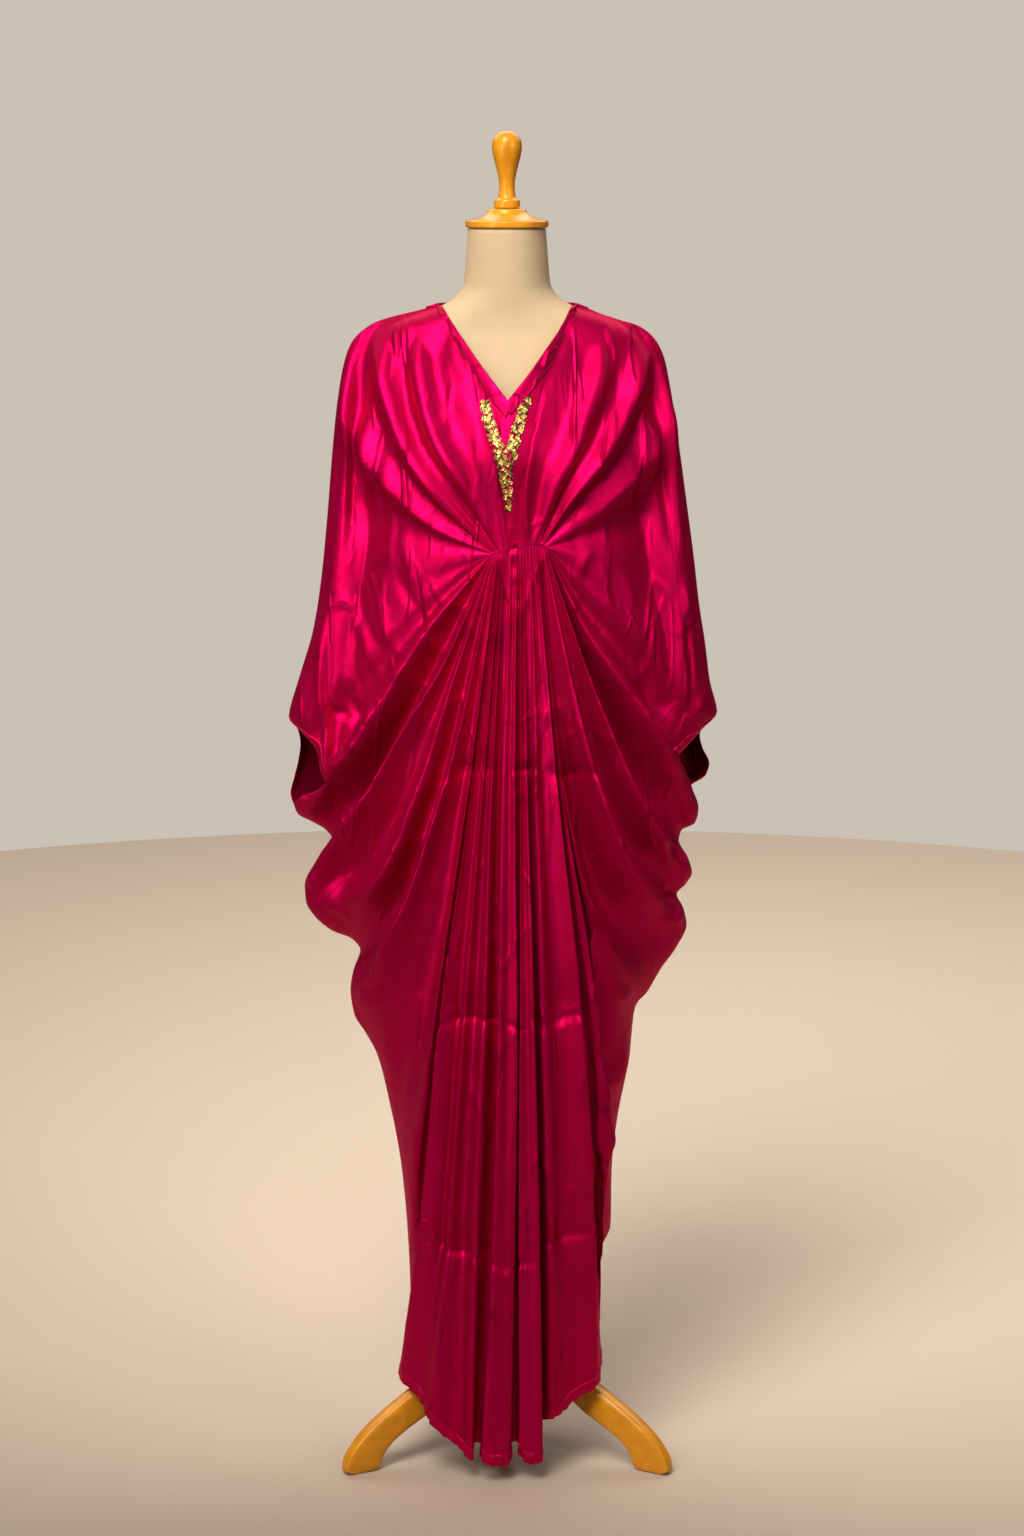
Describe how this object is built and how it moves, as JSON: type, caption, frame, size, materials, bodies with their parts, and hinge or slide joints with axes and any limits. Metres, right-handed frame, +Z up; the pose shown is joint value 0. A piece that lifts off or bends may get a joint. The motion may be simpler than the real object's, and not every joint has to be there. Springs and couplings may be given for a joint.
{
  "type": "draped kaftan on dress form",
  "caption": "Magenta satin kaftan gathered under the bust, with batwing sleeves, side cowls and a sequin trim, on a limbless canvas dress form with a wooden tripod foot",
  "frame": {"origin": "on the floor, under the middle of the bounding box", "axes": "+X to the wearer's left as seen from the front (right in the picture), -Y the front of the garment, +Z up"},
  "size_m": [0.5132, 0.3806, 1.5996],
  "materials": {
    "magenta_satin": "glossy fuchsia satin, lightly crumpled",
    "satin_band": "the same satin, pressed flat and edge stitched",
    "form_canvas": "plain unbleached canvas cover, matt",
    "honey_wood": "honey coloured wood under clear lacquer",
    "stand_steel": "plain satin steel tube"
  },
  "bodies": {
    "root": {"front_panel": "magenta_satin", "back_panel": "magenta_satin", "gather_stay": "satin_band", "neckband_left": "satin_band", "neckband_right": "satin_band", "neckband_back": "satin_band", "form_torso": "form_canvas", "neck_cap": "honey_wood", "neck_knob": "honey_wood", "pole": "stand_steel", "hub": "honey_wood", "leg_front_left": "honey_wood", "leg_front_right": "honey_wood", "leg_back": "honey_wood"}
  },
  "joints": []
}
